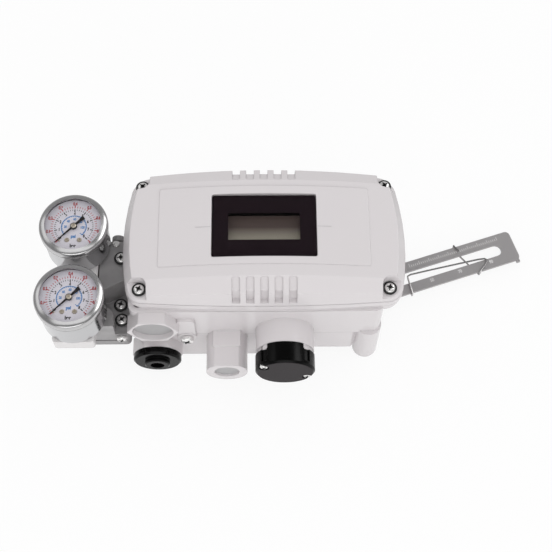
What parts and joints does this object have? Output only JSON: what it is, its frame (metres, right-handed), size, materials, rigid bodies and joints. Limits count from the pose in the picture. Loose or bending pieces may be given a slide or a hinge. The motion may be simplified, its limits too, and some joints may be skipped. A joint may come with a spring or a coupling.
{
  "type": "valve positioner",
  "caption": "Electro-pneumatic valve positioner: painted cast housing with window lid, two pressure gauges on a pilot valve block, cable entries, vent and a slotted feedback lever.",
  "frame": {"origin": "point on the rest plane under the middle of the bounding box; the rest plane is the flat back and the ends of the mounting bosses", "axes": "+Z out through the lid, +X towards the feedback lever, -Y towards the cable entries and the vent, gauges at -X"},
  "size_m": [0.307, 0.1186, 0.097],
  "materials": {
    "light_grey_paint": "smooth light grey powder coat",
    "pale_block_paint": "smooth pale paint",
    "bare_cast_metal": "bare cast aluminium, dull",
    "black_gloss_plastic": "moulded black plastic, slightly glossy",
    "black_matte_plastic": "moulded black plastic",
    "black_rubber": "moulded black rubber",
    "bright_screw_steel": "bright plated steel",
    "polished_bezel_steel": "polished stainless steel",
    "gauge_case_steel": "drawn stainless steel",
    "lever_steel": "matt stainless sheet",
    "spring_wire": "bright spring wire",
    "turned_steel": "turned and ground steel",
    "brass": "machined brass",
    "dark_window_print": "near-black print behind the pane",
    "clear_pane": "clear moulded pane",
    "display_film": "grey-green liquid crystal display, switched off",
    "circuit_board": "green solder resist",
    "terminal_plastic": "grey-green moulded plastic",
    "copper_winding": null,
    "dial_white": "printed white dial sheet",
    "pointer_black": "black enamel"
  },
  "bodies": {
    "body": {"housing_body": "light_grey_paint", "lid": "light_grey_paint", "gauge_block": "pale_block_paint", "pilot_block": "bare_cast_metal", "pilot_end_cap": "bare_cast_metal", "pilot_back_plate": "bare_cast_metal", "entry_plug": "black_gloss_plastic", "vent_cap": "black_gloss_plastic", "display_frame": "black_matte_plastic", "position_sensor": "black_matte_plastic", "lid_gasket": "black_rubber", "pilot_gasket": "black_rubber", "lid_screw_1": "bright_screw_steel", "lid_screw_2": "bright_screw_steel", "lid_screw_3": "bright_screw_steel", "lid_screw_4": "bright_screw_steel", "block_screw_1": "bright_screw_steel", "block_screw_2": "bright_screw_steel", "block_screw_3": "bright_screw_steel", "block_screw_4": "bright_screw_steel", "block_screw_5": "bright_screw_steel", "cap_screw_1": "bright_screw_steel", "cap_screw_2": "bright_screw_steel", "earth_screw": "bright_screw_steel", "gauge_bezel_1": "polished_bezel_steel", "gauge_bezel_2": "polished_bezel_steel", "gauge_case_1": "gauge_case_steel", "gauge_case_2": "gauge_case_steel", "motor_yoke": "turned_steel", "shaft_bush": "brass", "nozzle": "brass", "gauge_socket_1": "brass", "gauge_socket_2": "brass", "window_mask": "dark_window_print", "window_pane": "clear_pane", "gauge_lens_1": "clear_pane", "gauge_lens_2": "clear_pane", "display_glass": "display_film", "circuit_board": "circuit_board", "terminal_block": "terminal_plastic", "motor_coil": "copper_winding", "gauge_dial_1": "dial_white", "gauge_dial_2": "dial_white"},
    "feedback_shaft": {"main_shaft": "turned_steel", "sector_gear": "brass", "feedback_lever": "lever_steel", "lever_spring": "spring_wire", "lever_washer": "lever_steel", "lever_nut": "bright_screw_steel"},
    "sensor_spindle": {"sensor_gear": "brass"},
    "motor_armature": {"armature": "turned_steel"},
    "valve_spool": {"pilot_spool": "turned_steel"},
    "pointer_1": {"gauge_pointer_1": "pointer_black"},
    "pointer_2": {"gauge_pointer_2": "pointer_black"},
    "button_1": {"push_button_1": "black_matte_plastic"},
    "button_2": {"push_button_2": "black_matte_plastic"},
    "button_3": {"push_button_3": "black_matte_plastic"},
    "button_4": {"push_button_4": "black_matte_plastic"}
  },
  "joints": [
    {"name": "feedback_turn", "type": "hinge", "parent": "body", "child": "feedback_shaft", "pos_m": [0.03916, 0.00715, 0], "axis": [0, 0, 1], "range_deg": [-48.5, 11.5]},
    {"name": "sensor_turn", "type": "hinge", "parent": "body", "child": "sensor_spindle", "pos_m": [0.01286, 0.00715, 0], "axis": [0, 0, 1], "range_deg": [-36, 147]},
    {"name": "armature_tilt", "type": "hinge", "parent": "body", "child": "motor_armature", "pos_m": [-0.05814, 0.0193, 0.0094], "axis": [0, 1, 0], "range_deg": [-1.5, 1.5], "stiffness_Nm_per_rad": 0.5},
    {"name": "spool_slide", "type": "slide", "parent": "body", "child": "valve_spool", "axis": [0, 1, 0], "range_m": [-0.0015, 0.0015], "stiffness_N_per_m": 800},
    {"name": "pointer_1_turn", "type": "hinge", "parent": "body", "child": "pointer_1", "pos_m": [-0.13274, 0.0183, 0], "axis": [0, 0, 1], "range_deg": [-270, 0], "stiffness_Nm_per_rad": 0.0005},
    {"name": "pointer_2_turn", "type": "hinge", "parent": "body", "child": "pointer_2", "pos_m": [-0.13274, -0.0285, 0], "axis": [0, 0, 1], "range_deg": [-270, 0], "stiffness_Nm_per_rad": 0.0005},
    {"name": "button_1_press", "type": "slide", "parent": "body", "child": "button_1", "axis": [0, 0, -1], "range_m": [0, 0.0007], "stiffness_N_per_m": 2000},
    {"name": "button_2_press", "type": "slide", "parent": "body", "child": "button_2", "axis": [0, 0, -1], "range_m": [0, 0.0007], "stiffness_N_per_m": 2000},
    {"name": "button_3_press", "type": "slide", "parent": "body", "child": "button_3", "axis": [0, 0, -1], "range_m": [0, 0.0007], "stiffness_N_per_m": 2000},
    {"name": "button_4_press", "type": "slide", "parent": "body", "child": "button_4", "axis": [0, 0, -1], "range_m": [0, 0.0007], "stiffness_N_per_m": 2000}
  ],
  "couplings": [
    {"joint": "sensor_turn", "follows": "feedback_turn", "ratio": -3}
  ]
}
